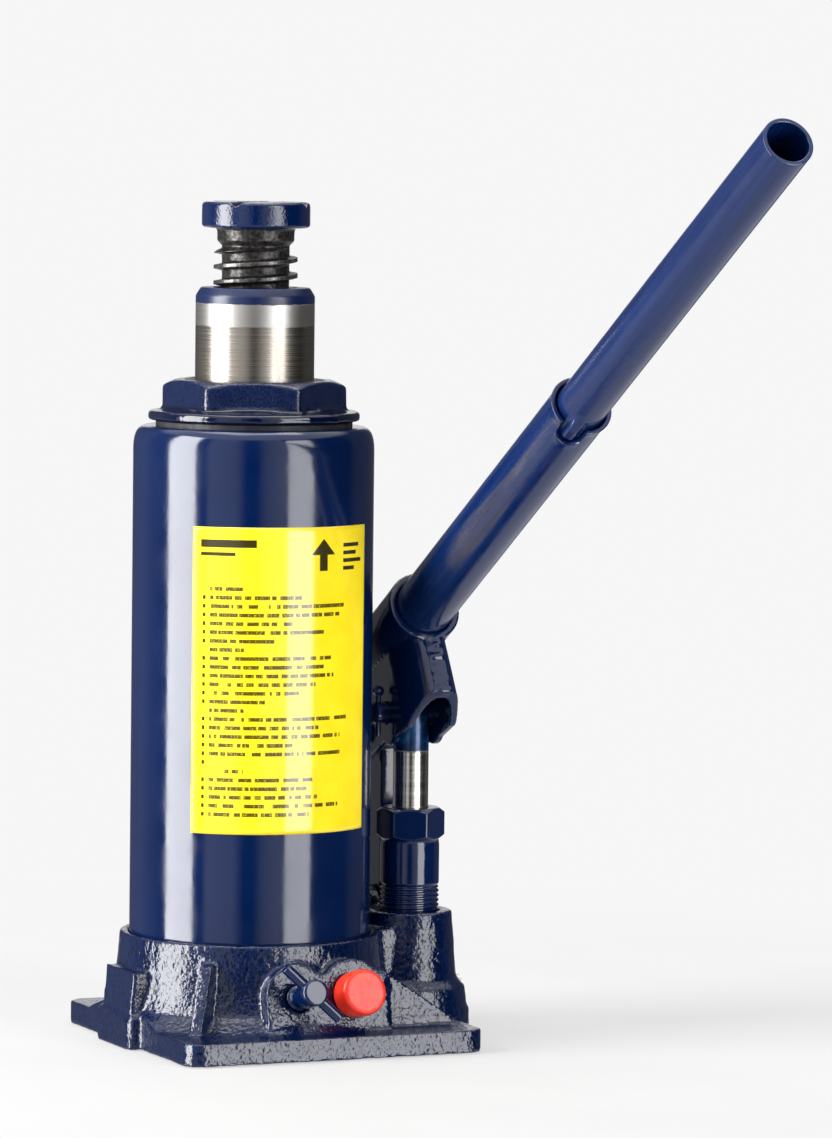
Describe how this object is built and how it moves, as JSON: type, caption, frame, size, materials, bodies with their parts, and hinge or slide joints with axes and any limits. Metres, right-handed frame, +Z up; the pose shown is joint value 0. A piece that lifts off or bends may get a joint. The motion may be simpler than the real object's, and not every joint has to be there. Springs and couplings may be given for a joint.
{
  "type": "hydraulic bottle jack",
  "caption": "Upright hydraulic lifting jack with screw-out saddle, side pump, pumping handle, release valve and square cast foot.",
  "frame": {"origin": "where the ram's axis meets the underside of the base", "axes": "+Z up along the ram, -Y towards the handle end and the two valves, +X towards the pump"},
  "size_m": [0.1207, 0.3122, 0.2925],
  "materials": {
    "cast_enamel": "gloss enamel over rough casting",
    "blue_enamel": "gloss enamel",
    "ground_steel": "ground, bright",
    "forged_steel": "forged, oil-blackened",
    "pin_steel": "turned, painted over",
    "hardened_ball": "polished",
    "spring_steel": "drawn wire",
    "seal_rubber": "matte",
    "seal_urethane": "satin",
    "copper": "annealed",
    "red_plastic": "satin moulded",
    "yellow_label": "satin film"
  },
  "bodies": {
    "jack_body": {"base_casting": "cast_enamel", "reservoir_tube": "blue_enamel", "reservoir_gasket": "seal_rubber", "cylinder_gasket": "copper", "inner_cylinder": "ground_steel", "top_seal_ring": "seal_rubber", "top_nut": "cast_enamel", "ram_wiper": "seal_rubber", "pump_cylinder": "blue_enamel", "pump_gasket": "copper", "pump_seal": "seal_urethane", "suction_ball": "hardened_ball", "delivery_ball": "hardened_ball", "passage_plug": "pin_steel", "safety_ball": "hardened_ball", "safety_spring": "spring_steel", "safety_screw": "pin_steel", "link_lower_pin": "pin_steel", "link_lower_cotter": "spring_steel", "rating_label": "yellow_label"},
    "ram": {"ram": "ground_steel", "piston_cup": "seal_urethane", "cup_washer": "pin_steel", "piston_snap_ring": "spring_steel"},
    "screw_stop": {"screw_stop_ring": "spring_steel"},
    "screw": {"extension_screw": "forged_steel"},
    "plunger": {"pump_plunger": "ground_steel"},
    "socket": {"handle_socket": "blue_enamel", "plunger_pin": "pin_steel", "plunger_pin_cotter": "spring_steel"},
    "link": {"fulcrum_link": "blue_enamel", "link_upper_pin": "pin_steel", "link_upper_cotter": "spring_steel"},
    "lower_handle": {"handle_lower_tube": "blue_enamel"},
    "upper_handle": {"handle_upper_tube": "blue_enamel"},
    "release_ball_seat": {"release_ball": "hardened_ball"},
    "release_screw": {"release_valve": "pin_steel", "release_cross_pin": "pin_steel"},
    "safety_cap": {"safety_valve_cap": "red_plastic"},
    "filler_plug": {"oil_filler_plug": "seal_rubber"}
  },
  "joints": [
    {"name": "ram_lift", "type": "slide", "parent": "jack_body", "child": "ram", "axis": [0, 0, 1], "range_m": [-0.023, 0.127]},
    {"name": "screw_rise", "type": "slide", "parent": "ram", "child": "screw_stop", "axis": [0, 0, 1], "range_m": [-0.0183, 0.06]},
    {"name": "screw_turn", "type": "hinge", "parent": "screw_stop", "child": "screw", "pos_m": [0, 0, 0.25], "axis": [0, 0, 1], "range_deg": [-1319, 4321]},
    {"name": "pump_stroke", "type": "slide", "parent": "jack_body", "child": "plunger", "axis": [0, 0, 1], "range_m": [-0.01771, 0.00394]},
    {"name": "handle_swing", "type": "hinge", "parent": "plunger", "child": "socket", "pos_m": [0.05375, -0.00352, 0.102], "axis": [1, 0, 0], "range_deg": [-10.1, 45.1]},
    {"name": "link_rock", "type": "hinge", "parent": "jack_body", "child": "link", "pos_m": [0.05375, 0.018, 0.037], "axis": [1, 0, 0], "range_deg": [-1, 0.25]},
    {"name": "handle_pull", "type": "slide", "parent": "socket", "child": "lower_handle", "axis": [0, -0.8542, 0.52], "range_m": [0, 0.04]},
    {"name": "handle_extend", "type": "slide", "parent": "lower_handle", "child": "upper_handle", "axis": [0, -0.8542, 0.52], "range_m": [0, 0.04]},
    {"name": "release_back_off", "type": "slide", "parent": "jack_body", "child": "release_ball_seat", "axis": [0, -0.9659, 0.2588], "range_m": [0, 0.0015]},
    {"name": "release_turn", "type": "hinge", "parent": "release_ball_seat", "child": "release_screw", "pos_m": [-0.002, -0.046, 0.0184], "axis": [0, -0.9659, 0.2588], "range_deg": [-1, 541]},
    {"name": "cap_pull", "type": "slide", "parent": "jack_body", "child": "safety_cap", "axis": [0, -0.9659, 0.2588], "range_m": [0, 0.014]},
    {"name": "filler_pull", "type": "slide", "parent": "jack_body", "child": "filler_plug", "axis": [0, 1, 0], "range_m": [0, 0.012]}
  ],
  "couplings": [
    {"joint": "screw_turn", "follows": "screw_rise", "rad_per_m": 1256.6},
    {"joint": "handle_swing", "follows": "pump_stroke", "rad_per_m": -44.346},
    {"joint": "link_rock", "follows": "pump_stroke", "rad_per_m": 0.90245},
    {"joint": "release_turn", "follows": "release_back_off", "rad_per_m": 6283.2}
  ]
}
